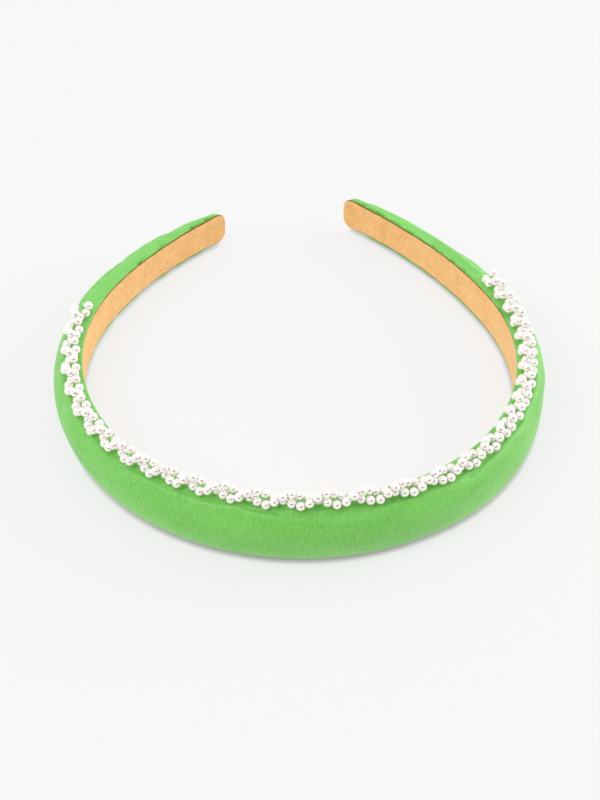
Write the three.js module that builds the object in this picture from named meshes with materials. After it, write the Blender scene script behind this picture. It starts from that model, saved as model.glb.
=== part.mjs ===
// A padded headband: a sprung plastic hoop with a foam pad, wrapped in satin, lined inside with suede,
// and trimmed along its upper edge with a twist of two strings of pearl beads, sewn down by hand.
//
// It lies on its side, as it does on a table. The crown is at -Y and the two tips are at +Y.
// It comes in three stretches, a crown and two arms, because a hoop bends where the arms spring open.
// Every layer is drawn once as a flat section, in which x is the depth out from the inner face and y is
// the height from the middle of the band. The section is extruded straight, one unit for each station,
// and then bent round the hoop and tapered towards the tips.
import * as THREE from "three";
import { mergeVertices } from "three/addons/utils/BufferGeometryUtils.js";

// Driving dimensions, in millimetres and degrees.
const HALF_LENGTH = 191.5; // from the middle of the crown to a tip, along the inner face
const RIGHT_ARCS = [[61, 55.8], [70, 69.5], [133, 66.2]]; // [radius, length] from the crown to the tip
const LEFT_ARCS = [[61, 67.6], [70, 69.3], [120, 54.6]]; // the hoop is bent by hand, so its arms differ a little
const CROWN_HEADING = 4.2; // turns the hoop so that its opening faces +Y
const CROWN_WIDTH = 18.8;
const TIP_WIDTH = 12.4;
const NARROWS_TO = 165; // from the middle of the crown to where the width stops narrowing
const CROWN_THICKNESS = 9.4;
const ARM_THICKNESS = 6.6; // where the padding begins to run out
const TIP_THICKNESS = 3.9; // where it has run out
const PADDING_ENDS = { from: 157, to: 180 };
const TIP_ROUNDING = 4.5; // the length over which a tip is rounded
const TIP_BLUNTNESS = 0.42; // the share of the width that is left at the very end
const ARM_START = 47; // from the middle of the crown to where an arm springs open
const CUT_GAP = 0.3; // between an arm and the crown
const STATION_STEP = 9.5;

const LINING = { inner: 0, outer: 0.7, margin: 0.8, marginFadesOver: 7 };
const CORE = { inner: 1.5, outer: 2.65, halfWidth: 8.4, shortBy: 1.4 };
const PAD = { inner: 2.86, halfWidth: 8.3, skinGap: 0.75, shortBy: 12 };
const COVER = { inner: 0.9, wall: 0.4, hem: 4.6, corner: 0.8, flatTo: 3.7, shortBy: 0.5 };
const CROWN_CURVE = { out: 0.48, up: 0.62 }; // how full the padded face is, as shares of its reach and height

const BEAD = { diameter: 2.5, pitch: 2.55, sides: 5, barrel: 0.5, threadRadius: 0.3 };
const TRIM = {
  leftEnd: 125,
  rightEnd: 130,
  strings: 2,
  crossingEvery: 8, // the two strings lie side by side halfway between crossings
  halfWidth: 1.45, // from the middle of the twist to the middle of a bead, across the satin
  climb: 2.6, // how far a string rises where it crosses over the other
  clearance: 0.12,
};
// Where the trim lies, as a share of the band's thickness, from the left end to the right end.
const TRIM_LIE = [0.45, 0.41, 0.47, 0.46, 0.38, 0.45, 0.46, 0.51, 0.4, 0.31, 0.38, 0.42];
const SLOPE_STEP = 0.6; // to either side of the trim, for the satin's slope under it
const STITCH = { count: 16, radius: 0.15, sides: 4, steps: 8, halfWidth: 3.35, foot: 0.4, top: 3.2 };
const KNOT = { radius: 0.95, beyond: 1.6 }; // `beyond` is from the end of the trim to the knot's middle

const SATIN = new THREE.MeshStandardMaterial({ color: 0x7cc862, roughness: 0.45, metalness: 0 });
const SUEDE = new THREE.MeshStandardMaterial({ color: 0xf2bd7e, roughness: 0.95, metalness: 0 });
const PLASTIC = new THREE.MeshStandardMaterial({ color: 0xe8e6df, roughness: 0.5, metalness: 0 });
const FOAM = new THREE.MeshStandardMaterial({ color: 0xf4f1e6, roughness: 1, metalness: 0 });
const PEARL = new THREE.MeshStandardMaterial({ color: 0xfbf5f0, roughness: 0.2, metalness: 0.05 });
const THREAD = new THREE.MeshStandardMaterial({ color: 0xf4f4ee, roughness: 0.4, metalness: 0 });

const headband = new THREE.Group();

// ---- The hoop's plan and how it tapers ----

// The inner face's place and direction at s millimetres from the crown, positive towards the right tip.
function planAt(s) {
  const side = s < 0 ? -1 : 1;
  let heading = side * THREE.MathUtils.degToRad(CROWN_HEADING);
  let left = Math.abs(s);
  let x = 0;
  let y = 0;
  for (const [radius, length] of side < 0 ? LEFT_ARCS : RIGHT_ARCS) {
    const turn = Math.min(left, length) / radius;
    x += radius * (Math.sin(heading + turn) - Math.sin(heading));
    y += radius * (Math.cos(heading) - Math.cos(heading + turn));
    heading += turn;
    left = Math.max(0, left - length);
  }
  return { x: side * x, y, outX: side * Math.sin(heading), outY: -Math.cos(heading) };
}

// How far s is from the crown towards a place on either arm, as a share that stays at 1 beyond it.
const shareTo = (s, place) => Math.min(1, Math.abs(s) / place);

const widthAt = (s) => THREE.MathUtils.lerp(CROWN_WIDTH, TIP_WIDTH, shareTo(s, NARROWS_TO));

function thicknessAt(s) {
  const { from, to } = PADDING_ENDS;
  const thinned = (ARM_THICKNESS - CROWN_THICKNESS) * shareTo(s, from) ** 2;
  const ended = (TIP_THICKNESS - ARM_THICKNESS) * THREE.MathUtils.clamp((Math.abs(s) - from) / (to - from), 0, 1);
  return CROWN_THICKNESS + thinned + ended;
}

// The share of the full width that is left near a rounded end, for a layer that ends at `end`.
function roundingAt(s, end) {
  const into = THREE.MathUtils.clamp((Math.abs(s) - (end - TIP_ROUNDING)) / TIP_ROUNDING, 0, 1);
  return 1 - (1 - TIP_BLUNTNESS) * (1 - Math.sqrt(1 - into * into));
}

// The depth at s of what lies at `depth` in the crown's section. The lining, hems and hoop keep their
// thickness all along, the satin keeps its own, and the pad between them thins out.
function depthAt(depth, s) {
  const padTop = CROWN_THICKNESS - PAD.skinGap;
  const lost = CROWN_THICKNESS - thicknessAt(s);
  if (depth <= PAD.inner) return depth;
  if (depth >= padTop) return depth - lost;
  return PAD.inner + ((depth - PAD.inner) * (padTop - lost - PAD.inner)) / (padTop - PAD.inner);
}

function pointAt(s, depth, height) {
  const { x, y, outX, outY } = planAt(s);
  return new THREE.Vector3(x + outX * depth, y + outY * depth, widthAt(s) / 2 + height);
}

// ---- Layers ----

// The stretches that the band and its trim are made in. The left arm is on the negative side.
const STRETCHES = [
  { name: "left_arm", side: -1, from: ARM_START + CUT_GAP / 2 },
  { name: "crown", side: 0, from: ARM_START - CUT_GAP / 2 },
  { name: "right_arm", side: 1, from: ARM_START + CUT_GAP / 2 },
];

// An evenly spaced list from a to b, both included.
function spaced(a, b, step) {
  const count = Math.max(1, Math.round(Math.abs(b - a) / step));
  return Array.from({ length: count + 1 }, (_, i) => THREE.MathUtils.lerp(a, b, i / count));
}

// A stretch's stations for a layer that ends at `end`, closer together where the tip is rounded. They
// run from the right to the left, so that an extruded section faces outwards.
function stationsOf({ side, from }, end) {
  if (side === 0) return spaced(from, -from, STATION_STEP);
  const straightEnd = end - TIP_ROUNDING;
  const rounded = [25, 50, 70, 90].map(
    (turn) => straightEnd + TIP_ROUNDING * Math.sin(THREE.MathUtils.degToRad(turn)),
  );
  const stations = [...spaced(from, straightEnd, STATION_STEP), ...rounded];
  return side < 0 ? stations.map((s) => -s) : stations.reverse();
}

// One stretch of a layer: its section is extruded a unit for each station, then each vertex is placed.
function layerStretch(section, stretch, end, place) {
  const stations = stationsOf(stretch, end);
  const steps = stations.length - 1;
  const geometry = new THREE.ExtrudeGeometry(section, { depth: steps, steps, bevelEnabled: false });
  const position = geometry.attributes.position;
  for (let i = 0; i < position.count; i++) {
    const s = stations[Math.round(position.getZ(i))];
    const placed = place(position.getX(i), position.getY(i), s);
    position.setXYZ(i, placed.x, placed.y, placed.z);
  }
  return closed(geometry);
}

function closed(geometry) {
  geometry.deleteAttribute("normal");
  geometry.deleteAttribute("uv");
  const merged = mergeVertices(geometry, 1e-4);
  merged.computeVertexNormals();
  return merged;
}

// Places a section point of a layer that tapers with the band and has a rounded end, where it closes
// in towards its own inner face.
const tapered = (end, inner) => (depth, height, s) => {
  const rounding = roundingAt(s, end);
  const taperedHeight = height * (widthAt(s) / CROWN_WIDTH);
  return pointAt(s, inner + (depthAt(depth, s) - inner) * rounding, taperedHeight * rounding);
};

// The lining is narrower than the band, until it covers the whole tip. Its section is 2 units high.
function liningPlace(depth, height, s) {
  const toEnd = HALF_LENGTH - Math.abs(s);
  const margin = LINING.margin * Math.min(1, toEnd / LINING.marginFadesOver);
  return pointAt(s, depth, height * (widthAt(s) / 2 - margin) * roundingAt(s, HALF_LENGTH));
}

const liningSection = new THREE.Shape()
  .moveTo(LINING.inner, -1)
  .lineTo(LINING.outer, -1)
  .lineTo(LINING.outer, 1)
  .lineTo(LINING.inner, 1);

const coreSection = new THREE.Shape()
  .moveTo(CORE.inner, -CORE.halfWidth)
  .lineTo(CORE.outer, -CORE.halfWidth)
  .lineTo(CORE.outer, CORE.halfWidth)
  .lineTo(CORE.inner, CORE.halfWidth);

// The crowned outline of the pad and the satin: from a flat edge over the crown to the other edge.
function crownPoints(flatTo, halfWidth, top, count) {
  const flat = new THREE.Vector2(flatTo, -halfWidth);
  const reach = top - flatTo;
  const lower = new THREE.CubicBezierCurve(
    flat,
    new THREE.Vector2(flatTo + CROWN_CURVE.out * reach, -halfWidth),
    new THREE.Vector2(top, -CROWN_CURVE.up * halfWidth),
    new THREE.Vector2(top, 0),
  ).getPoints(count);
  const upper = lower.slice(0, -1).reverse().map((p) => new THREE.Vector2(p.x, -p.y));
  return [...lower, ...upper];
}

const padSection = new THREE.Shape(
  crownPoints(PAD.inner, PAD.halfWidth, CROWN_THICKNESS - PAD.skinGap, 4),
);

// The satin: its outer outline from hem to hem, and back along the same outline one wall further in.
function coverSection() {
  const half = CROWN_WIDTH / 2;
  const outline = (wall) => {
    const lower = [
      new THREE.Vector2(COVER.inner + wall, -COVER.hem),
      new THREE.Vector2(COVER.inner + wall, -half + COVER.corner),
      new THREE.Vector2(COVER.inner + COVER.corner, -half + wall),
    ];
    const upper = lower.map((p) => new THREE.Vector2(p.x, -p.y)).reverse();
    return [...lower, ...crownPoints(COVER.flatTo, half - wall, CROWN_THICKNESS - wall, 4), ...upper];
  };
  return new THREE.Shape([...outline(0), ...outline(COVER.wall).reverse()]);
}

function addMesh(name, geometry, material) {
  const mesh = new THREE.Mesh(geometry, material);
  mesh.name = name;
  headband.add(mesh);
}

const LAYERS = [
  { name: "suede_lining", section: liningSection, material: SUEDE, place: liningPlace },
  { name: "spring_core", section: coreSection, material: PLASTIC, ...CORE },
  { name: "foam_pad", section: padSection, material: FOAM, ...PAD },
  { name: "satin_cover", section: coverSection(), material: SATIN, ...COVER },
];

for (const { name, section, material, inner, shortBy, place } of LAYERS)
  for (const stretch of STRETCHES) {
    const end = HALF_LENGTH - (shortBy ?? 0);
    const geometry = layerStretch(section, stretch, end, place ?? tapered(end, inner));
    addMesh(`${name}_${stretch.name}`, geometry, material);
  }

// ---- The pearl trim ----

// The satin's outer height at a depth, from the same Bezier curve as its section.
function coverHeightAt(depth) {
  if (depth <= COVER.flatTo) return CROWN_WIDTH / 2;
  const outline = crownPoints(COVER.flatTo, CROWN_WIDTH / 2, CROWN_THICKNESS, 40);
  const next = outline.findIndex((p) => p.x >= depth);
  const [a, b] = [outline[next - 1], outline[next]];
  return -THREE.MathUtils.mapLinear(depth, a.x, b.x, a.y, b.y);
}

// How far across the band's thickness the trim lies at s, as a smooth curve through TRIM_LIE.
const lieCurve = new THREE.SplineCurve(TRIM_LIE.map((share, i) => new THREE.Vector2(i, share)));
function lieAt(s) {
  const share = THREE.MathUtils.mapLinear(s, -TRIM.leftEnd, TRIM.rightEnd, 0, 1);
  return lieCurve.getPoint(THREE.MathUtils.clamp(share, 0, 1)).y;
}

// A point over the satin's upper edge at s: `across` it towards the outside from the middle of the trim,
// and `rise` out from its surface.
function trimPoint(s, across, rise) {
  const crownDepth = lieAt(s) * CROWN_THICKNESS;
  const surface = coverHeightAt(crownDepth) * (widthAt(s) / CROWN_WIDTH);
  const fall = coverHeightAt(crownDepth + SLOPE_STEP) - coverHeightAt(crownDepth - SLOPE_STEP);
  const tilt = Math.atan(fall / (2 * SLOPE_STEP));
  const depth = lieAt(s) * thicknessAt(s) + across * Math.cos(tilt) - rise * Math.sin(tilt);
  return pointAt(s, depth, surface + across * Math.sin(tilt) + rise * Math.cos(tilt));
}

// A string lies along the satin, and climbs over the other one at every second crossing.
class StringCurve extends THREE.Curve {
  constructor(phase, from, to) {
    super();
    Object.assign(this, { phase, from, to, arcLengthDivisions: 1200 });
  }
  getPoint(t) {
    const s = THREE.MathUtils.lerp(this.from, this.to, t);
    const angle = this.phase + (Math.PI * s) / TRIM.crossingEvery;
    const rise = BEAD.diameter / 2 + TRIM.clearance + TRIM.climb * Math.max(0, Math.sin(angle));
    return trimPoint(s, TRIM.halfWidth * Math.cos(angle), rise);
  }
}

// A straight string of barrel beads on their thread, turned on a lathe, then laid along a curve.
function beadString(curve) {
  const length = curve.getLength();
  const count = Math.round(length / BEAD.pitch);
  const pitch = length / count;
  const radius = Math.sqrt((BEAD.diameter / 2) ** 2 - BEAD.barrel ** 2);
  const profile = [new THREE.Vector2(0, 0)];
  for (let i = 0; i < count; i++) {
    const middle = (i + 0.5) * pitch;
    if (i > 0) profile.push(new THREE.Vector2(BEAD.threadRadius, middle - pitch / 2));
    profile.push(new THREE.Vector2(radius, middle - BEAD.barrel));
    profile.push(new THREE.Vector2(radius, middle + BEAD.barrel));
  }
  profile.push(new THREE.Vector2(0, length));
  const geometry = new THREE.LatheGeometry(profile, BEAD.sides);
  const position = geometry.attributes.position;
  const up = new THREE.Vector3(0, 0, 1);
  const frames = profile.map(({ y }) => {
    const share = Math.min(1, y / length);
    const along = curve.getTangentAt(share);
    const across = along.clone().cross(up).normalize();
    return { origin: curve.getPointAt(share), across, over: across.clone().cross(along) };
  });
  for (let i = 0; i < position.count; i++) {
    const { origin, across, over } = frames[i % profile.length];
    const placed = origin
      .clone()
      .addScaledVector(across, position.getX(i))
      .addScaledVector(over, position.getZ(i));
    position.setXYZ(i, placed.x, placed.y, placed.z);
  }
  return closed(geometry);
}

const TRIM_ENDS = { left_arm: -TRIM.leftEnd, crown: -(ARM_START - CUT_GAP / 2), right_arm: TRIM.rightEnd };

for (let i = 0; i < TRIM.strings; i++)
  for (const { name, side, from } of STRETCHES) {
    const phase = (2 * Math.PI * i) / TRIM.strings;
    const curve = new StringCurve(phase, (side || 1) * from, TRIM_ENDS[name]);
    addMesh(`pearl_string_${i + 1}_${name}`, beadString(curve), PEARL);
  }

// A stitch is one loop of thread over both strings, from the satin on one side to the other.
class StitchCurve extends THREE.Curve {
  constructor(s) {
    super();
    this.s = s;
  }
  getPoint(t) {
    const arch = Math.sqrt(Math.max(0, Math.sin(Math.PI * t)));
    const rise = THREE.MathUtils.lerp(STITCH.foot, STITCH.top, arch);
    return trimPoint(this.s, STITCH.halfWidth * Math.cos(Math.PI * t), rise);
  }
}

const threadSection = new THREE.Shape(
  Array.from({ length: STITCH.sides }, (_, i) => {
    const angle = (2 * Math.PI * i) / STITCH.sides;
    return new THREE.Vector2(STITCH.radius * Math.cos(angle), STITCH.radius * Math.sin(angle));
  }),
);

// The stitches are where the strings lie side by side, at every second such place.
for (let i = 0; i < STITCH.count; i++) {
  const s = TRIM.crossingEvery * (2 * i + 1 - STITCH.count);
  const options = { steps: STITCH.steps, extrudePath: new StitchCurve(s) };
  addMesh(`tack_stitch_${i + 1}`, closed(new THREE.ExtrudeGeometry(threadSection, options)), THREAD);
}

// The knots that end the threads, tucked against the satin just past the last beads.
for (const [name, side, trimEnd] of [["left", -1, TRIM.leftEnd], ["right", 1, TRIM.rightEnd]]) {
  const { x, y, z } = trimPoint(side * (trimEnd + KNOT.beyond), 0, KNOT.radius + TRIM.clearance);
  const knot = new THREE.IcosahedronGeometry(KNOT.radius, 1).translate(x, y, z);
  addMesh(`thread_knot_${name}`, closed(knot), THREAD);
}

// The origin is on the table, under the middle of the headband's bounding box.
const box = new THREE.Box3().setFromObject(headband);
const middle = box.getCenter(new THREE.Vector3());
headband.position.set(-middle.x, -middle.y, -box.min.z);

export default headband;
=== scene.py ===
"""The looks of a padded headband: satin over foam, a suede lining, and a twist of pearl beads sewn along
the upper edge. It lies on its side on a pale table, and the camera looks down on its crown."""

import math

import bpy
import numpy as np
from mathutils import Matrix, Vector
from mathutils.bvhtree import BVHTree


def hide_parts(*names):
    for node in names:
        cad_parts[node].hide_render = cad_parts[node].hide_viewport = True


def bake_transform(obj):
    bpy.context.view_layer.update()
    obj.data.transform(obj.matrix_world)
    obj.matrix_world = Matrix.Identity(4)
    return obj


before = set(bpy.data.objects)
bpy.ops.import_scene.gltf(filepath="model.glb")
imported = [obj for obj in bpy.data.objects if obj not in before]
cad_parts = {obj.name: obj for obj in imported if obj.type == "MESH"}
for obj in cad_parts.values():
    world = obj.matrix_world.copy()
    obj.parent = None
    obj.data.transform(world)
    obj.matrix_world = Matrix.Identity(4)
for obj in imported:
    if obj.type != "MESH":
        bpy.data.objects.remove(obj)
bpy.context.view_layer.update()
MM = 0.001

# ---- Driving dimensions of the headband, in millimetres and degrees ----

HALF_LENGTH = 191.5  # from the middle of the crown to a tip, along the inner face
RIGHT_ARCS = [(61, 55.8), (70, 69.5), (133, 66.2)]  # (radius, length) from the crown to the tip
LEFT_ARCS = [(61, 67.6), (70, 69.3), (120, 54.6)]
CROWN_HEADING = 4.2
CROWN_WIDTH, TIP_WIDTH = 18.8, 11.7
NARROWS_TO = 165  # from the crown to where the width stops narrowing
CROWN_THICKNESS, ARM_THICKNESS, TIP_THICKNESS = 9.4, 6.3, 2.2
THINS_TO = 157  # from the crown to where the padding reaches the arms' thickness
PADDING_ENDS_FROM, PADDING_ENDS_BY = 152, 1.6  # then it runs out to the tip, by this power of the distance
TIP_FALL = ([181, 190.5], [1, 0.91])  # (along the band, share of the width that the satin keeps)
ARM_LIFT = ([-191, -140, -70, 100, 191], [0.6, 1.2, 0, 0, 0.7])  # (along the band, off the table)
TIP_TUCK = ([174, 181], [1, 0])  # (along the band, share of the swell beside the lining that stays)
TIP_ROUNDING, TIP_BLUNTNESS = 4.5, 0.42
CROWN_END = 46.85  # where the CAD cuts the crown from the arms
BEND_FROM, BEND_TO = 12.0, 95.0  # where a half would bend from the crown into its arm; bend() works out these places but doesn't use them

LINING_THICKNESS, LINING_MARGIN = 0.7, 0.8
LINING_CORNER = 0.22
MARGIN_FADES_OVER = 7.0
LINING_DRAWN_IN = 0.12  # keeps the wandering edges clear of the satin
HEM_DEPTH, HEM_HEIGHT = 0.9, 4.6
FLAT_DEPTH = 3.7  # the satin's edges are level as far out as this, then round over the padding
SHOULDER = (0.48, 0.62)  # how far out, and how far up, the padded face keeps near a corner of its box
FULL_SHOULDER = (0.9, 0.9)
LOWER_FULLNESS = ([25, 40, 60, 85, 160], [0.1, 0.45, 0.73, 0.85, 0])  # (along the band, towards the full one)
UPPER_SWELL, LOWER_SWELL = 0.55, 0.3  # how far the satin swells inwards from its hem, beside the lining
SATIN_WALL = 0.35
SATIN_SHORT_BY = 0.5  # how far the satin stops short of the lining at a tip
STITCH_DENT = 0.3  # how far a stitch pulls the satin in
STITCH_FOOT = 2.1  # from the middle of the trim to where a stitch goes in
MOST_SWELL = 0.6  # the farthest that the simulation may move the satin

CORE_INNER, CORE_OUTER, CORE_HALF_WIDTH = 1.3, 2.2, 8.4
CORE_CORNER = 0.3
CORE_SHORT_BY, FOAM_SHORT_BY = 6, 12
FOAM_INNER, FOAM_CLEARANCE = 2.35, 3.0  # the satin, the core and the gaps take the clearance
FOAM_NARROWER_BY = 1.8

BEAD = 2.6  # diameter
BEAD_PITCH = 2.61
BORE = 0.24
TRIM_LEFT, TRIM_RIGHT = -125.0, 130.0
TRIM_LIE = [0.45, 0.41, 0.46, 0.42, 0.36, 0.43, 0.45, 0.46, 0.41, 0.37, 0.38, 0.42]
CROSSING_EVERY = [9.9, 8.6, 9.0, 8.0, 7.5, 8.6, 9.0, 10.2, 8.4, 6.8, 7.2, 6.6, 7.2]
TWIST_START = 2.5  # the turn of the twist at its left end, in radians
# (along the band, from the middle of the twist to the middle of a string)
TWIST_HALF_WIDTHS = ([-125, -119, -70, -30, 40, 80], [2.4, 1.6, 1.5, 1.42, 1.45, 1.65])
STITCH_EVERY, STITCHES = 16.0, 16
THREAD_RADIUS, BEAD_THREAD_RADIUS, KNOT_THREAD_RADIUS = 0.1, 0.16, 0.2
KNOT_SCALE, KNOT_BEYOND = 0.22, 1.6


# ---- The hoop's plan, taper and section ----


def plan(s):
    """The inner face's x and y at s millimetres from the crown, and the unit vector out from it."""
    s = np.asarray(s, float)
    side = np.where(s < 0, -1.0, 1.0)
    x, y = np.zeros_like(s), np.zeros_like(s)
    heading = side * math.radians(CROWN_HEADING)
    left = np.abs(s)
    for (r_left, l_left), (r_right, l_right) in zip(LEFT_ARCS, RIGHT_ARCS):
        radius = np.where(side < 0, r_left, r_right)
        length = np.where(side < 0, l_left, l_right)
        turn = np.minimum(left, length) / radius
        x += radius * (np.sin(heading + turn) - np.sin(heading))
        y += radius * (np.cos(heading) - np.cos(heading + turn))
        heading = heading + turn
        left = np.maximum(0, left - length)
    return side * x, y, side * np.sin(heading), -np.cos(heading)


def width(s):
    """The band's width, from its lower edge to its upper one."""
    return np.interp(np.abs(s), [0, NARROWS_TO], [CROWN_WIDTH, TIP_WIDTH])


def thickness(s):
    """From the inner face to the padding's crest."""
    thinned = np.minimum(1, np.abs(s) / THINS_TO) ** 2
    past = (np.abs(s) - PADDING_ENDS_FROM) / (HALF_LENGTH - PADDING_ENDS_FROM)
    ended = np.clip(past, 0, 1) ** PADDING_ENDS_BY
    thinned_to = CROWN_THICKNESS + thinned * (ARM_THICKNESS - CROWN_THICKNESS)
    return thinned_to + ended * (TIP_THICKNESS - ARM_THICKNESS)


def rounding(s, end):
    """The share of its height that a layer keeps where its tip is rounded."""
    into = np.clip((np.abs(s) - (end - TIP_ROUNDING)) / TIP_ROUNDING, 0, 1)
    return 1 - (1 - TIP_BLUNTNESS) * (1 - np.sqrt(1 - into**2))


def hoop_offset():
    """What moves the plan onto the CAD, from the inner face of its lining at the middle of the crown."""
    lining = [v.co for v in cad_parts["suede_lining_crown"].data.vertices]
    low, high = np.min(lining, axis=0) / MM, np.max(lining, axis=0) / MM
    s = np.linspace(-CROWN_END, CROWN_END, 201)
    x, y, out_x, out_y = plan(s)
    face = np.array([[x, y], [x + out_x * LINING_THICKNESS, y + out_y * LINING_THICKNESS]])
    return np.array([low[0] - face[:, 0].min(), high[1] - face[:, 1].max()])


OFFSET = hoop_offset()


def place(s, depth, height):
    """Points of the band in millimetres, at a depth out from the inner face and a height from its middle."""
    x, y, out_x, out_y = plan(s)
    lift = np.interp(s, *ARM_LIFT)
    points = [x + out_x * depth + OFFSET[0], y + out_y * depth + OFFSET[1], width(s) / 2 + height + lift]
    return np.stack(np.broadcast_arrays(*points), axis=-1)


def stations(end, step):
    """Places along the band from the left tip to the right one, closer together where a tip is rounded."""
    straight = end - TIP_ROUNDING
    count = round(straight / step)
    half = np.linspace(0, straight, count + 1)
    turns = np.radians(np.linspace(0, 90, 7)[1:])
    half = np.concatenate([half, straight + TIP_ROUNDING * np.sin(turns)])
    return np.concatenate([-half[:0:-1], half])


# ---- Meshes ----


def new_object(name, points, faces, material, uv=None):
    """A mesh object from points in millimetres, with one uv for each point."""
    mesh = bpy.data.meshes.new(name)
    mesh.from_pydata((np.asarray(points) * MM).tolist(), [], [tuple(f) for f in faces])
    mesh.materials.append(material)
    mesh.polygons.foreach_set("use_smooth", [True] * len(mesh.polygons))
    if uv is not None:
        layer = mesh.uv_layers.new(name="UVMap")
        loops = np.empty(len(mesh.loops), np.int64)
        mesh.loops.foreach_get("vertex_index", loops)
        layer.data.foreach_set("uv", np.asarray(uv, np.float32)[loops].ravel())
    mesh.update()
    obj = bpy.data.objects.new(name, mesh)
    bpy.context.collection.objects.link(obj)
    return obj


def grid_faces(rows, columns, closed=False):
    """Quads over a grid of points that is numbered row by row."""
    across = columns if closed else columns - 1
    faces = []
    for i in range(rows - 1):
        for j in range(across):
            k = (j + 1) % columns
            faces.append((i * columns + j, i * columns + k, (i + 1) * columns + k, (i + 1) * columns + j))
    return faces


def end_caps(rows, columns):
    """The two faces that close a grid whose rows are rings."""
    return [tuple(range(columns)), tuple(reversed([(rows - 1) * columns + j for j in range(columns)]))]


def apply_modifiers(obj):
    """Leaves the object with the mesh that its modifiers make, and no modifiers."""
    bpy.context.view_layer.update()
    made = bpy.data.meshes.new_from_object(obj.evaluated_get(bpy.context.evaluated_depsgraph_get()))
    obj.modifiers.clear()
    obj.data = made
    return obj


HALVES = {"left": -1, "right": 1}


def bend(obj, side):
    """Bakes the object's transform into its mesh. It works out where a half would bend from the crown into
    its arm, but doesn't bend it.
    """
    start, end = (place(side * s, 0, 0) * MM for s in (BEND_FROM, BEND_TO))
    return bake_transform(obj)


def half_of(s, side):
    """The rows of a half, which meets the other at the crown's middle row."""
    middle = len(s) // 2
    return slice(0, middle + 1) if side < 0 else slice(middle, len(s))


# ---- Materials ----


class Nodes:
    """A short way to write a material's nodes."""

    def __init__(self, name):
        self.material = bpy.data.materials.new(name)
        self.material.use_nodes = True
        self.tree = self.material.node_tree
        self.shader = self.tree.nodes["Principled BSDF"]

    def add(self, kind, **values):
        node = self.tree.nodes.new(kind)
        for key, value in values.items():
            setattr(node, key, value)
        return node

    def put(self, value, socket):
        if isinstance(value, bpy.types.NodeSocket):
            self.tree.links.new(value, socket)
        else:
            socket.default_value = value

    def uv(self, scale):
        mapping = self.add("ShaderNodeMapping")
        mapping.inputs["Scale"].default_value = scale
        self.put(self.add("ShaderNodeUVMap", uv_map="UVMap").outputs[0], mapping.inputs[0])
        return mapping.outputs[0]

    def object(self, scale):
        mapping = self.add("ShaderNodeMapping")
        mapping.inputs["Scale"].default_value = scale
        self.put(self.add("ShaderNodeTexCoord").outputs["Object"], mapping.inputs[0])
        return mapping.outputs[0]

    def noise(self, vector, scale, detail=3.0, rough=0.5):
        node = self.add("ShaderNodeTexNoise")
        self.put(vector, node.inputs["Vector"])
        self.put(scale, node.inputs["Scale"])
        self.put(detail, node.inputs["Detail"])
        self.put(rough, node.inputs["Roughness"])
        return node.outputs[0]

    def ramp(self, value, stops):
        node = self.add("ShaderNodeValToRGB")
        self.put(value, node.inputs[0])
        elements = node.color_ramp.elements
        while len(elements) < len(stops):
            elements.new(0.5)
        for element, (position, colour) in zip(elements, stops):
            element.position = position
            element.color = (*colour, 1)
        return node.outputs[0]

    def math(self, operation, a, b=0.0, clamp=False):
        node = self.add("ShaderNodeMath", operation=operation, use_clamp=clamp)
        self.put(a, node.inputs[0])
        self.put(b, node.inputs[1])
        return node.outputs[0]

    def mix(self, factor, a, b, kind="MIX"):
        node = self.add("ShaderNodeMix", data_type="RGBA", blend_type=kind)
        self.put(factor, node.inputs[0])
        self.put(a if isinstance(a, bpy.types.NodeSocket) else (*a, 1), node.inputs[6])
        self.put(b if isinstance(b, bpy.types.NodeSocket) else (*b, 1), node.inputs[7])
        return node.outputs[2]

    def bump(self, height, distance, strength=1.0, normal=None):
        node = self.add("ShaderNodeBump")
        self.put(height, node.inputs["Height"])
        node.inputs["Distance"].default_value = distance * MM
        node.inputs["Strength"].default_value = strength
        if normal is not None:
            self.put(normal, node.inputs["Normal"])
        return node.outputs[0]

    def finish(self, **sockets):
        for key, value in sockets.items():
            self.put(value, self.shader.inputs[key.replace("_", " ")])
        return self.material


def satin_material():
    n = Nodes("green_satin")
    ribs = n.noise(n.uv((2.4, 0.3, 1)), 1.0, 3.0, 0.65)  # fine ribs that run across the band
    grain = n.noise(n.uv((1.5, 1.5, 1)), 1.0, 3.0, 0.65)
    weft = n.noise(n.uv((0.25, 4.0, 1)), 1.0, 3.0, 0.5)
    cloud = n.noise(n.uv((0.05, 0.1, 1)), 1.0, 3.0, 0.5)
    weave = n.math("ADD", n.math("MULTIPLY", ribs, 0.5), n.math("MULTIPLY", grain, 0.5))
    tone = n.math("ADD", n.math("MULTIPLY", weave, 1.1), n.math("MULTIPLY", cloud, 0.4))
    colour = n.ramp(tone, [(0.5, (0.118, 0.465, 0.059)), (1.0, (0.252, 0.73, 0.137))])
    fine = n.bump(weave, 0.10, 0.5)
    bump = n.bump(weft, 0.05, 0.3, fine)
    return n.finish(
        Base_Color=colour,
        Roughness=0.42,
        Anisotropic=0.4,
        Sheen_Weight=0.25,
        Sheen_Roughness=0.4,
        Sheen_Tint=(0.75, 1.0, 0.6, 1),
        Normal=bump,
    )


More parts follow.
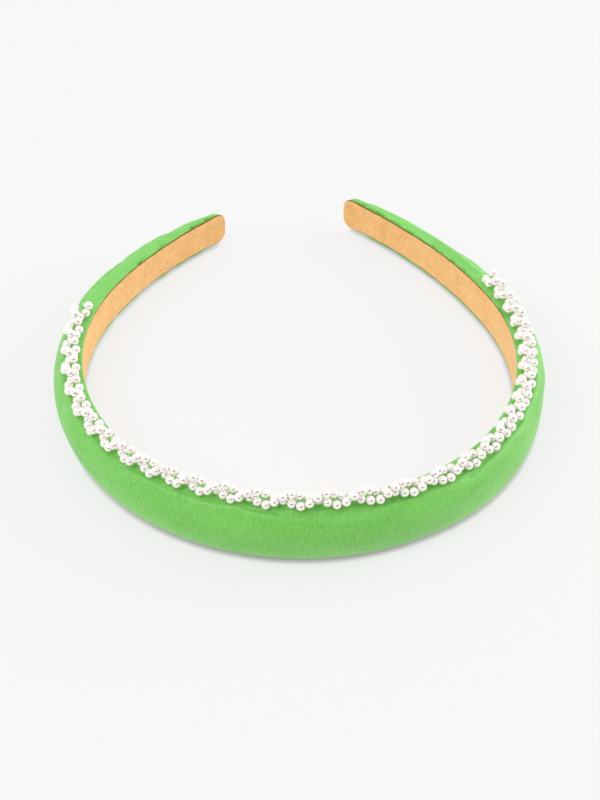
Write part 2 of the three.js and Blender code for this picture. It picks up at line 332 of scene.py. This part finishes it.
def suede_material():
    n = Nodes("tan_suede")
    where = n.object((1 / MM, 1 / MM, 1 / MM))
    grain = n.noise(where, 1.1, 5.0, 0.7)
    blotch = n.noise(where, 0.22, 3.0, 0.5)
    nap = n.noise(where, 5.0, 4.0, 0.7)
    tone = n.math("ADD", n.math("MULTIPLY", grain, 0.72), n.math("MULTIPLY", blotch, 0.28))
    face = n.ramp(tone, [(0.36, (0.80, 0.42, 0.14)), (0.5, (0.93, 0.545, 0.205)), (0.66, (1.0, 0.64, 0.28))])
    split = n.add("ShaderNodeSeparateXYZ")
    n.put(n.uv((1, 1, 1)), split.inputs[0])
    wander = n.math("MULTIPLY", n.noise(n.uv((0.35, 0, 1)), 1.0, 3.0, 0.6), 0.03)
    edge = n.math("ADD", n.math("ABSOLUTE", split.outputs["Y"]), wander)
    rim = n.ramp(edge, [(0.965, (0, 0, 0)), (1.0, (1, 1, 1))])
    colour = n.mix(rim, face, (0.26, 0.10, 0.03))
    rough = n.bump(grain, 0.25, 0.5)
    bump = n.bump(nap, 0.12, 0.5, rough)
    return n.finish(
        Base_Color=colour,
        Roughness=0.95,
        Specular_IOR_Level=0.15,
        Sheen_Weight=0.35,
        Sheen_Roughness=0.55,
        Sheen_Tint=(1.0, 0.82, 0.62, 1),
        Normal=bump,
    )


def pearl_material():
    n = Nodes("pearl_lacquer")
    where = n.object((1 / MM, 1 / MM, 1 / MM))
    cloud = n.noise(where, 0.35, 2.0, 0.5)
    colour = n.ramp(cloud, [(0.3, (0.92, 0.868, 0.835)), (0.7, (0.955, 0.915, 0.89))])
    bump = n.bump(n.noise(where, 2.4, 2.0, 0.5), 0.02, 0.3)
    return n.finish(
        Base_Color=colour,
        Metallic=0.6,
        Roughness=0.14,
        # The emission is a painted glow: it lightens the beads and the shade between them, though pearls give
        # off no light.
        Emission_Color=(1.0, 0.93, 0.88, 1),
        Emission_Strength=0.08,
        Coat_Weight=0.8,
        Coat_Roughness=0.05,
        Subsurface_Weight=0.2,
        Subsurface_Scale=0.6 * MM,
        Normal=bump,
    )


def plain_material(name, colour, roughness, grain_scale, grain_depth, **more):
    n = Nodes(name)
    grain = n.noise(n.object((1 / MM, 1 / MM, 1 / MM)), grain_scale, 4.0, 0.6)
    darker = tuple(0.88 * c for c in colour)
    toned = n.ramp(grain, [(0.3, darker), (0.7, colour)])
    return n.finish(Base_Color=toned, Roughness=roughness, Normal=n.bump(grain, grain_depth, 0.5), **more)


SATIN = satin_material()
SUEDE = suede_material()
PEARL = pearl_material()
PLASTIC = plain_material("core_plastic", (0.80, 0.79, 0.75), 0.45, 0.4, 0.03)
FOAM = plain_material("foam", (0.90, 0.88, 0.80), 1.0, 2.0, 0.3)
NYLON = plain_material("clear_nylon", (0.93, 0.94, 0.93), 0.2, 1.0, 0.01, Transmission_Weight=0.55, IOR=1.45)

# ---- The camera ----

VIEW_HEADING = 2.343  # how far the hoop is turned on the table, seen from above
VIEW_ELEVATION = 40.194
VIEW_DISTANCE = 0.6615
LENS_MM, SENSOR_MM = 102.34, 36.0
VIEW_ROLL = 0.931


def make_camera():
    heading = math.radians(-VIEW_HEADING)
    elevation = math.radians(VIEW_ELEVATION)
    back = Vector((math.sin(heading), -math.cos(heading), 0)) * math.cos(elevation)
    back.z = math.sin(elevation)
    target = Vector((0.000036, -0.008017, 0))
    data = bpy.data.cameras.new("camera")
    data.lens, data.sensor_width = LENS_MM, SENSOR_MM
    data.clip_start, data.clip_end = 0.01, 20
    camera = bpy.data.objects.new("camera", data)
    turn = back.to_track_quat("Z", "Y").to_matrix().to_4x4()
    roll = Matrix.Rotation(math.radians(VIEW_ROLL), 4, "Z")
    camera.matrix_world = Matrix.Translation(target + back * VIEW_DISTANCE) @ turn @ roll
    bpy.context.collection.objects.link(camera)
    bpy.context.scene.camera = camera


make_camera()

# ---- The satin cover ----


def smooth_curve(points, at):
    """A smooth curve through evenly spaced points: at 0 it is at the first one, at 1 at the next."""
    points = np.asarray(points, float)
    i = np.clip(np.asarray(at, float).astype(int), 0, len(points) - 2)
    t = np.asarray(at, float) - i
    if points.ndim > 1:
        t = t[..., None]
    p = np.concatenate([points[:1], points, points[-1:]])
    a, b, c, d = p[i], p[i + 1], p[i + 2], p[i + 3]
    v0, v1 = (c - a) / 2, (d - b) / 2
    return (2 * b - 2 * c + v0 + v1) * t**3 + (-3 * b + 3 * c - 2 * v0 - v1) * t**2 + v0 * t + b


def padding_outline(shoulder=SHOULDER):
    """Depths and heights of the upper half of the padded face, at the crown."""
    t = np.linspace(0, 1, 19)
    half, reach = CROWN_WIDTH / 2, CROWN_THICKNESS - FLAT_DEPTH
    corners = np.array([(0, half), (shoulder[0] * reach, half), (reach, shoulder[1] * half), (reach, 0)])
    shares = np.stack([(1 - t) ** 3, 3 * t * (1 - t) ** 2, 3 * t**2 * (1 - t), t**3], -1)
    return (shares @ corners + [FLAT_DEPTH, 0]).T


def edge_outline(swell):
    """Depths and heights from the hem's raw edge, beside the lining and over the band's edge."""
    half = CROWN_WIDTH / 2
    rise = half - LINING_MARGIN
    inmost = HEM_DEPTH - swell
    steps = [
        (HEM_DEPTH, HEM_HEIGHT),
        (HEM_DEPTH, (HEM_HEIGHT + rise) / 2),
        (HEM_DEPTH, rise + 0.02),
        ((HEM_DEPTH + inmost) / 2, rise + 0.12),
        (inmost + 0.05, rise + 0.22),
        (inmost, rise + 0.36),
        (inmost + 0.22, rise + 0.57),
        (inmost + 0.65, rise + 0.74),
        (1.6, half),
        (2.6, half),
    ]
    return np.array(steps).T


def half_outline(swell, shoulder):
    """The upper half of the cover's outline, from the hem to the padding's crest."""
    return np.concatenate([edge_outline(swell), padding_outline(shoulder)], axis=1)


def cover_points(s):
    """The cover from its lower hem, out around the padding and back to its upper hem."""
    s2 = s[:, None]
    upper = half_outline(UPPER_SWELL, SHOULDER)
    lower = half_outline(LOWER_SWELL, SHOULDER) * [[1], [-1]]
    full = half_outline(LOWER_SWELL, FULL_SHOULDER) * [[1], [-1]]
    fuller = np.interp(s2, *LOWER_FULLNESS)
    outline = []
    for low, wide, high in zip(lower, full, upper):
        back_up = np.repeat(high[None, -2::-1], len(s), 0)
        outline.append(np.concatenate([low + fuller * (wide - low), back_up], axis=1))
    taper = rounding(s2, HALF_LENGTH - SATIN_SHORT_BY)
    flat = np.minimum(FLAT_DEPTH, 0.72 * thickness(s2))
    beyond = np.maximum(0, outline[0] - FLAT_DEPTH) / (CROWN_THICKNESS - FLAT_DEPTH)
    past_hem = outline[0] - HEM_DEPTH
    squeeze = (flat - HEM_DEPTH) / (FLAT_DEPTH - HEM_DEPTH)
    level = HEM_DEPTH + past_hem * np.where(past_hem > 0, squeeze, np.interp(np.abs(s2), *TIP_TUCK))
    depth = np.minimum(level, flat) + beyond * (thickness(s2) - flat)
    height = outline[1] * width(s2) / CROWN_WIDTH * np.interp(np.abs(s2), *TIP_FALL)
    return place(s2, HEM_DEPTH + (depth - HEM_DEPTH) * taper, height * taper)


def trim_point(s, across, rise):
    """Over the satin's upper edge: across it, outwards from the middle of the trim, and out from it."""
    s = np.asarray(s, float)
    at = np.clip((s - TRIM_LEFT) / (TRIM_RIGHT - TRIM_LEFT), 0, 1) * (len(TRIM_LIE) - 1)
    lie = smooth_curve(TRIM_LIE, at)
    depths, heights = padding_outline()
    surface = [np.interp(lie * CROWN_THICKNESS + step, depths, heights) for step in (-0.6, 0, 0.6)]
    tilt = np.arctan((surface[2] - surface[0]) / 1.2)
    depth = lie * thickness(s) + across * np.cos(tilt) - rise * np.sin(tilt)
    height = surface[1] * width(s) / CROWN_WIDTH + across * np.sin(tilt) + rise * np.cos(tilt)
    return place(s, depth, height)


def stitch_places():
    return [STITCH_EVERY * (i + 0.5 - STITCHES / 2) for i in range(STITCHES)]


def simulate_cover(points):
    """Air pressure swells the satin between its hems and its stitches, which hold it down."""
    rows, columns = points.shape[:2]
    obj = new_object("satin_sim", points.reshape(-1, 3), grid_faces(rows, columns), SATIN)
    pinned = np.zeros((rows, columns))
    pinned[:, :6] = pinned[:, -6:] = 1  # the hems, as far out as the edges of the lining
    pinned[:3] = pinned[-3:] = 1
    flat = points.reshape(-1, 3)
    for place_s in stitch_places():
        for across in (-STITCH_FOOT, STITCH_FOOT):
            foot = trim_point(place_s, across, 0)
            near = np.linalg.norm(flat - foot, axis=1).argmin()
            pinned.reshape(-1)[near] = 1
            out = trim_point(place_s, across, 1) - foot
            flat[near] -= STITCH_DENT * out
    obj.data.vertices.foreach_set("co", (flat * MM).ravel())
    group = obj.vertex_groups.new(name="held")
    group.add([int(i) for i in np.flatnonzero(pinned.reshape(-1))], 1, "REPLACE")
    cloth = obj.modifiers.new("cloth", "CLOTH")
    cloth.settings.vertex_group_mass = "held"
    cloth.settings.quality = 8
    cloth.settings.mass = 0.05
    cloth.settings.tension_stiffness = cloth.settings.compression_stiffness = 30
    cloth.settings.shear_stiffness = 10
    cloth.settings.bending_stiffness = 0.3
    cloth.settings.use_pressure = True
    cloth.settings.uniform_pressure_force = 2.0
    cloth.settings.shrink_min = cloth.settings.shrink_max = -0.012
    cloth.settings.effector_weights.gravity = 0
    cloth.collision_settings.use_collision = False
    cloth.collision_settings.use_self_collision = False
    scene = bpy.context.scene
    for step in range(1, 19):
        scene.frame_set(step)
    evaluated = obj.evaluated_get(bpy.context.evaluated_depsgraph_get())
    moved = np.empty(len(evaluated.data.vertices) * 3)
    evaluated.data.vertices.foreach_get("co", moved)
    scene.frame_set(1)
    bpy.data.objects.remove(obj)
    step = moved.reshape(-1, 3) / MM - flat
    far = np.linalg.norm(step, axis=1, keepdims=True)
    return (flat + step * np.minimum(1, MOST_SWELL / np.maximum(far, 1e-9))).reshape(points.shape)


def whole_cover():
    """The cover in one piece, as points in millimetres, faces, and the uv of each corner of each face."""
    s = stations(HALF_LENGTH - SATIN_SHORT_BY, 1.6)
    points = cover_points(s)
    points = simulate_cover(points)
    points[..., 2] = np.maximum(points[..., 2], 0)
    rows, columns = points.shape[:2]
    girth = np.linalg.norm(np.diff(points[rows // 2], axis=0), axis=1)
    across = np.concatenate([[0], np.cumsum(girth)])
    uv = np.stack(np.broadcast_arrays(s[:, None], across[None, :]), -1).reshape(-1, 2)
    cover = new_object("whole_cover", points.reshape(-1, 3), grid_faces(rows, columns), SATIN, uv)
    subdivision = cover.modifiers.new("smooth", "SUBSURF")
    subdivision.levels = subdivision.render_levels = 1
    cover.modifiers.new("wall", "SOLIDIFY").thickness = SATIN_WALL * MM
    cover.modifiers["wall"].offset = -1
    apply_modifiers(cover)
    mesh = cover.data
    coordinates = np.array([v.co for v in mesh.vertices]) / MM
    faces = [tuple(f.vertices) for f in mesh.polygons]
    corners = [[tuple(mesh.uv_layers[0].data[i].uv) for i in f.loop_indices] for f in mesh.polygons]
    bpy.data.objects.remove(cover)
    return coordinates, faces, corners


def add_cover(side, coordinates, faces, corners):
    """A half of the cover, which meets the other half at the crown's middle row."""
    name = "left" if side < 0 else "right"
    mine = [i for i, uv in enumerate(corners) if sum(u for u, _ in uv) * side > 0]
    used = sorted({v for i in mine for v in faces[i]})
    number = {v: k for k, v in enumerate(used)}
    my_faces = [[number[v] for v in faces[i]] for i in mine]
    cover = new_object(f"satin_cover_{name}", coordinates[used], my_faces, SATIN)
    layer = cover.data.uv_layers.new(name="UVMap")
    my_uv = np.array([uv for i in mine for uv in corners[i]], np.float32)
    layer.data.foreach_set("uv", my_uv.ravel())
    cover.data.set_sharp_from_angle(angle=math.radians(60))
    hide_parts(f"satin_cover_{name}_arm", "satin_cover_crown")
    bend(cover, side)
    return cover


cover_mesh = whole_cover()
covers = {side: add_cover(side, *cover_mesh) for side in HALVES.values()}

# ---- The suede lining ----


def lining_half_height(s):
    """The lining is cut by hand, so its edges wander a little."""
    to_end = HALF_LENGTH - np.abs(s)
    margin = LINING_MARGIN * np.minimum(1, to_end / MARGIN_FADES_OVER)
    wander = 0.06 * np.sin(s * 0.9 + 1.3 * np.sin(s * 0.21)) + 0.04 * np.sin(s * 2.3) - LINING_DRAWN_IN
    return (width(s) / 2 - margin + wander * (margin / LINING_MARGIN)) * rounding(s, HALF_LENGTH)


def add_lining(side):
    name = "left" if side < 0 else "right"
    s_all = stations(HALF_LENGTH, 1.2)
    s = s_all[half_of(s_all, side)]
    half = lining_half_height(s)
    across = 13  # columns over the face that shows
    shares = np.linspace(-1, 1, across)
    face_depth = np.broadcast_to(np.where(np.abs(shares) == 1, LINING_CORNER, 0), (len(s), across))
    depth = np.concatenate([face_depth, np.full((len(s), 2), LINING_THICKNESS)], 1)
    height = np.concatenate([shares * half[:, None], np.stack([half, -half], 1)], 1)
    inset = np.where(np.abs(shares) == 1, 0, LINING_CORNER * np.abs(shares) ** 30)
    height[:, :across] -= np.sign(shares) * inset
    points = place(s[:, None], depth, height)
    rows, columns = points.shape[:2]
    faces = [f[::-1] for f in grid_faces(rows, columns, closed=True)]
    faces += end_caps(rows, columns)
    uv = np.stack(np.broadcast_arrays(s[:, None], height / half[:, None]), -1).reshape(-1, 2)
    lining = new_object(f"suede_lining_{name}", points.reshape(-1, 3), faces, SUEDE, uv)
    lining.data.set_sharp_from_angle(angle=math.radians(60))
    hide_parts(f"suede_lining_{name}_arm", "suede_lining_crown")
    bend(lining, side)
    return lining


# ---- The core and the foam, which the satin hides ----


def add_hidden(name, side, material, end, section):
    """A half of a hidden layer: section(s) gives the depths and heights of its outline."""
    s_all = stations(end, 4.0)
    s = s_all[half_of(s_all, side)]
    depth, height = section(s[:, None])
    points = place(s[:, None], depth, height * rounding(s[:, None], end))
    rows, columns = points.shape[:2]
    faces = [f[::-1] for f in grid_faces(rows, columns, closed=True)]
    faces += end_caps(rows, columns)
    side_name = "left" if side < 0 else "right"
    piece = new_object(f"{name}_{side_name}", points.reshape(-1, 3), faces, material)
    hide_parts(f"{name}_{side_name}_arm", f"{name}_crown")
    return bend(piece, side)


def core_section(s):
    """A flat strip with its corners cut."""
    half = CORE_HALF_WIDTH * width(s) / CROWN_WIDTH
    inner, outer = CORE_INNER + CORE_CORNER, CORE_OUTER - CORE_CORNER
    short = half - CORE_CORNER
    depth = np.array([CORE_INNER, CORE_INNER, inner, outer, CORE_OUTER, CORE_OUTER, outer, inner])
    height = np.stack([-short, short, half, half, short, -short, -half, -half], -1)
    return np.broadcast_arrays(depth, height[:, 0])


def foam_section(s):
    """The padded outline, drawn in from the satin, with a flat back."""
    depth, height = padding_outline()
    depth = np.concatenate([depth, depth[-2::-1]])
    height = np.concatenate([height, -height[-2::-1]])
    beyond = (depth - FLAT_DEPTH) / (CROWN_THICKNESS - FLAT_DEPTH)
    depth = FOAM_INNER + beyond * (thickness(s) - FOAM_CLEARANCE)
    return depth, height * (width(s) - FOAM_NARROWER_BY) / CROWN_WIDTH


for half_name, half_side in HALVES.items():
    add_lining(half_side)
    add_hidden("spring_core", half_side, PLASTIC, HALF_LENGTH - CORE_SHORT_BY, core_section)
    foam = add_hidden("foam_pad", half_side, FOAM, HALF_LENGTH - FOAM_SHORT_BY, foam_section)

# ---- The pearl trim ----


def twist_angles(s):
    """The twist is wound by hand, so the spacing of its crossings changes along the band."""
    at = (s - TRIM_LEFT) / (TRIM_RIGHT - TRIM_LEFT) * (len(CROSSING_EVERY) - 1)
    rate = math.pi / smooth_curve(CROSSING_EVERY, at)
    angle = np.concatenate([[0], np.cumsum((rate[1:] + rate[:-1]) / 2 * np.diff(s))])
    return angle + TWIST_START


def string_path(phase):
    """A string lies on the satin, and climbs over the other string where the two cross."""
    s = np.linspace(TRIM_LEFT, TRIM_RIGHT, 6000)
    angle = phase + twist_angles(s)
    rise = BEAD / 2 + SATIN_WALL / 2 + BEAD * np.maximum(0, np.sin(angle))
    return s, trim_point(s, np.interp(s, *TWIST_HALF_WIDTHS) * np.cos(angle), rise)


def string_beads(phase):
    """The middles of a string's beads, evenly spaced along its path, and where each is along the band."""
    s, path = string_path(phase)
    along = np.concatenate([[0], np.cumsum(np.linalg.norm(np.diff(path, axis=0), axis=1))])
    count = int(along[-1] // BEAD_PITCH)
    at = (np.arange(count) + 0.5) * along[-1] / count
    return np.interp(at, along, s), np.stack([np.interp(at, along, path[:, k]) for k in range(3)], -1)


def settle_beads(strings):
    """Nudges the beads until none cuts into another or into the satin, and each string keeps its spacing."""
    trees = [BVHTree.FromObject(c, bpy.context.evaluated_depsgraph_get()) for c in covers.values()]
    touching = BEAD + 0.01
    for _ in range(30):
        everything = np.concatenate(strings)
        owner = np.concatenate([np.full(len(p), i) for i, p in enumerate(strings)])
        push = np.zeros_like(everything)
        gap = everything[:, None] - everything[None]
        distance = np.linalg.norm(gap, axis=2) + 10 * (owner[:, None] == owner[None])
        for i, j in zip(*np.where((distance < touching) & (distance > 0))):
            push[i] += gap[i, j] / distance[i, j] * (touching - distance[i, j]) * 0.5
        for i, point in enumerate(everything):
            for tree in trees:
                found, normal, _, far = tree.find_nearest(Vector(point * MM), 4 * MM)
                if found is None:
                    continue
                away = point - np.array(found) / MM
                if away @ np.array(normal) > 0 and far / MM < BEAD / 2 + 0.01:
                    push[i] += away / max(far / MM, 1e-6) * (BEAD / 2 + 0.01 - far / MM)
        everything += 0.7 * push
        strings = [everything[owner == i] for i in range(len(strings))]
        for points in strings:
            step = np.diff(points, axis=0)
            length = np.linalg.norm(step, axis=1, keepdims=True)
            fix = step / length * (length - BEAD_PITCH) * 0.25
            points[:-1] += fix
            points[1:] -= fix
    return strings


def bead_mesh():
    """One bead of unit radius with a bore along z: a round outside and a short bore at each end."""
    bore = BORE / (BEAD / 2)
    start = math.asin(bore)
    turns = np.linspace(start, math.pi - start, 13)
    profile = [(bore * 0.9, math.cos(start) - 0.25)]
    profile += [(math.sin(t), math.cos(t)) for t in turns]
    profile += [(bore * 0.9, 0.25 - math.cos(start))]
    sides = 20
    angles = np.arange(sides) * 2 * math.pi / sides
    points = np.array([[(r * math.cos(a), r * math.sin(a), z) for a in angles] for r, z in profile])
    faces = [f[::-1] for f in grid_faces(len(profile), sides, closed=True)]
    faces += [tuple(range(sides))[::-1], tuple((len(profile) - 1) * sides + j for j in range(sides))]
    return points.reshape(-1, 3), faces


def directions(points):
    """The unit vector along a string at each of its beads."""
    tangent = np.gradient(points, axis=0)
    return tangent / np.linalg.norm(tangent, axis=1, keepdims=True)


def add_beads(name, middles, along, side, replaced):
    """A half of a string, with each bead's bore along the string and each bead a slightly different size."""
    unit, unit_faces = bead_mesh()
    rng = np.random.default_rng(7)
    points, faces = [], []
    for number, (middle, tangent) in enumerate(zip(middles, along)):
        turn = np.array(Vector(tangent).to_track_quat("Z", "Y").to_matrix())
        size = BEAD / 2 * (1 - 0.02 * rng.random())
        faces += [tuple(k + number * len(unit) for k in face) for face in unit_faces]
        points.append(middle + (unit * size) @ turn.T)
    beads = new_object(name, np.concatenate(points), faces, PEARL)
    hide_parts(*replaced)
    return bend(beads, side)


def tube(name, path, radius, material, sides=8):
    """A closed tube of a radius along a path, both in millimetres."""
    path = np.asarray(path, float)
    tangent = directions(path)
    across = np.cross(tangent, [0, 0, 1.0])
    across /= np.maximum(np.linalg.norm(across, axis=1, keepdims=True), 1e-9)
    over = np.cross(across, tangent)
    angles = np.arange(sides) * 2 * math.pi / sides
    ring = np.cos(angles)[None, :, None] * across[:, None] + np.sin(angles)[None, :, None] * over[:, None]
    points = path[:, None] + radius * ring
    rows = len(path)
    faces = grid_faces(rows, sides, closed=True)
    faces += [tuple(range(sides))[::-1], tuple((rows - 1) * sides + j for j in range(sides))]
    return new_object(name, points.reshape(-1, 3), faces, material)


starts = [string_beads(math.pi * i) for i in range(2)]
bead_places = [s for s, _ in starts]
bead_middles = settle_beads([p for _, p in starts])

for number, (places, middles) in enumerate(zip(bead_places, bead_middles), 1):
    along = directions(middles)
    for half_name, half_side in HALVES.items():
        mine = places < 0 if half_side < 0 else places >= 0
        nodes = [f"pearl_string_{number}_{half_name}_arm", f"pearl_string_{number}_crown"]
        add_beads(f"pearl_string_{number}_{half_name}", middles[mine], along[mine], half_side, nodes)
        inside = middles[np.flatnonzero(mine)]
        if half_side < 0:
            inside = np.concatenate([inside, middles[len(inside) : len(inside) + 1]])
        thread = tube(f"bead_thread_{number}_{half_name}", inside, BEAD_THREAD_RADIUS, NYLON)
        bend(thread, half_side)

# ---- Stitches and knots ----


def bead_gap(number, s, side):
    """Near s, the middle of the gap between two beads of the string that lies on one side of the trim."""
    places, middles = bead_places[number], bead_middles[number]
    gaps = (places[1:] + places[:-1]) / 2
    between = (middles[1:] + middles[:-1]) / 2
    feet = [trim_point(g, 0, 0) for g in gaps]
    out = [trim_point(g, 1, 0) - foot for g, foot in zip(gaps, feet)]
    across = np.array([(m - foot) @ o for m, foot, o in zip(between, feet, out)])
    score = np.abs(gaps - s) + 100 * (across * side < 0.8)
    best = score.argmin()
    return score[best], gaps[best], (middles[best] + middles[best + 1]) / 2


def add_stitch(number, s):
    """A stitch comes up beside one string, over its thread and the other's, and down into the satin."""
    outer = min((bead_gap(n, s, 1) for n in range(2)), key=lambda g: g[0])
    inner = min((bead_gap(n, outer[1], -1) for n in range(2)), key=lambda g: g[0])
    up = trim_point(outer[1], 0, 1) - trim_point(outer[1], 0, 0)
    out = trim_point(outer[1], 1, 0) - trim_point(outer[1], 0, 0)
    foot = BEAD / 2 + 0.35
    steps = [(0, 0.65, -foot), (0, 0.65, -0.1), (0, 0.5, 0.45), (0, 0, 0.75), (0.5, 0, 1.4)]
    steps += [(1, 0, 0.75), (1, -0.5, 0.45), (1, -0.65, -0.1), (1, -0.65, -foot)]
    over = inner[2] - outer[2]
    points = [outer[2] + share * over + across * out + rise * up for share, across, rise in steps]
    path = smooth_curve(points, np.linspace(0, len(points) - 1, 33))  # four steps to each stretch
    stitch = tube(f"tack_stitch_{number}_thread", path, THREAD_RADIUS, NYLON)
    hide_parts(f"tack_stitch_{number}")
    bend(stitch, -1 if s < 0 else 1)


for number, s in enumerate(stitch_places(), 1):
    add_stitch(number, s)


def add_knot(side, end):
    """A small overhand knot where the threads end."""
    t = np.linspace(0, 2 * math.pi, 60, endpoint=False)
    middle = trim_point(end + side * KNOT_BEYOND, 0.3, 0.75)
    trefoil = [np.sin(t) + 2 * np.sin(2 * t), np.cos(t) - 2 * np.cos(2 * t), -np.sin(3 * t)]
    path = middle + KNOT_SCALE * np.stack(trefoil, -1) * [1, 1, 0.9]
    name = "left" if side < 0 else "right"
    knot = tube(f"knot_{name}", np.concatenate([path, path[:1]]), KNOT_THREAD_RADIUS, NYLON)
    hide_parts(f"thread_knot_{name}")
    bend(knot, side)


add_knot(-1, TRIM_LEFT)
add_knot(1, TRIM_RIGHT)

# ---- The table and the light ----

OPENING_ACROSS, OPENING_UP, OPENING_HALF_HEIGHT = 0.85, 0.40, 0.34  # as shares of a unit sphere
CONTACT_SHADOW = 1.9  # how far under the band the table darkens, in millimetres


def make_stage():
    n = Nodes("table")
    near = n.add("ShaderNodeAmbientOcclusion", samples=12)
    near.inputs["Distance"].default_value = CONTACT_SHADOW * MM
    shade = n.ramp(near.outputs["AO"], [(0.0, (0.2, 0.2, 0.2)), (0.85, (1, 1, 1))])
    n.finish(Base_Color=(0.18, 0.18, 0.18, 1), Roughness=0.7, Specular_IOR_Level=0.1)
    n.finish(Emission_Color=shade, Emission_Strength=0.722)
    corners = [(-4000, -4000, 0), (4000, -4000, 0), (4000, 4000, 0), (-4000, 4000, 0)]
    floor = new_object("table", corners, [(0, 1, 2, 3)], n.material)


def area_light(name, place_m, target_m, size, watts, colour=(1, 1, 1)):
    data = bpy.data.lights.new(name, "AREA")
    data.shape = "DISK"
    data.size = size
    data.energy = watts
    data.color = colour
    light = bpy.data.objects.new(name, data)
    light.location = place_m
    light.rotation_euler = (Vector(target_m) - Vector(place_m)).to_track_quat("-Z", "Y").to_euler()
    bpy.context.collection.objects.link(light)


def make_light():
    """A white tent all round, with a wide opening at the front, where the room beyond it is darker."""
    world = bpy.data.worlds.new("studio")
    world.use_nodes = True
    tree = world.node_tree
    look = tree.nodes.new("ShaderNodeTexCoord")
    move = tree.nodes.new("ShaderNodeMapping")
    move.inputs["Location"].default_value = (0, 0, -OPENING_UP / OPENING_HALF_HEIGHT)
    move.inputs["Scale"].default_value = (1 / OPENING_ACROSS, 0, 1 / OPENING_HALF_HEIGHT)
    tree.links.new(look.outputs["Generated"], move.inputs[0])
    reach = tree.nodes.new("ShaderNodeVectorMath")
    reach.operation = "LENGTH"
    tree.links.new(move.outputs[0], reach.inputs[0])
    split = tree.nodes.new("ShaderNodeSeparateXYZ")
    tree.links.new(look.outputs["Generated"], split.inputs[0])
    behind = tree.nodes.new("ShaderNodeMath")
    behind.operation = "GREATER_THAN"
    tree.links.new(split.outputs["Y"], behind.inputs[0])
    behind.inputs[1].default_value = 0
    away = tree.nodes.new("ShaderNodeMath")
    away.operation = "ADD"
    tree.links.new(reach.outputs["Value"], away.inputs[0])
    tree.links.new(behind.outputs[0], away.inputs[1])
    tent = tree.nodes.new("ShaderNodeValToRGB")
    tent.color_ramp.elements[0].position = 0.8
    tent.color_ramp.elements[0].color = (0.14, 0.035, 0.015, 1)
    tent.color_ramp.elements[1].position = 1.0
    tent.color_ramp.elements[1].color = (1, 1, 1, 1)
    tree.links.new(away.outputs[0], tent.inputs[0])
    background = tree.nodes["Background"]
    tree.links.new(tent.outputs[0], background.inputs[0])
    background.inputs[1].default_value = 0.98
    bpy.context.scene.world = world
    area_light("key", (-0.9, -0.8, 1.3), (0, 0, 0), 1.0, 8)
    area_light("fill", (1.35, 0.45, 0.5), (0, 0, 0), 1.0, 8)


make_stage()
make_light()
bpy.context.scene.view_settings.view_transform = "Standard"
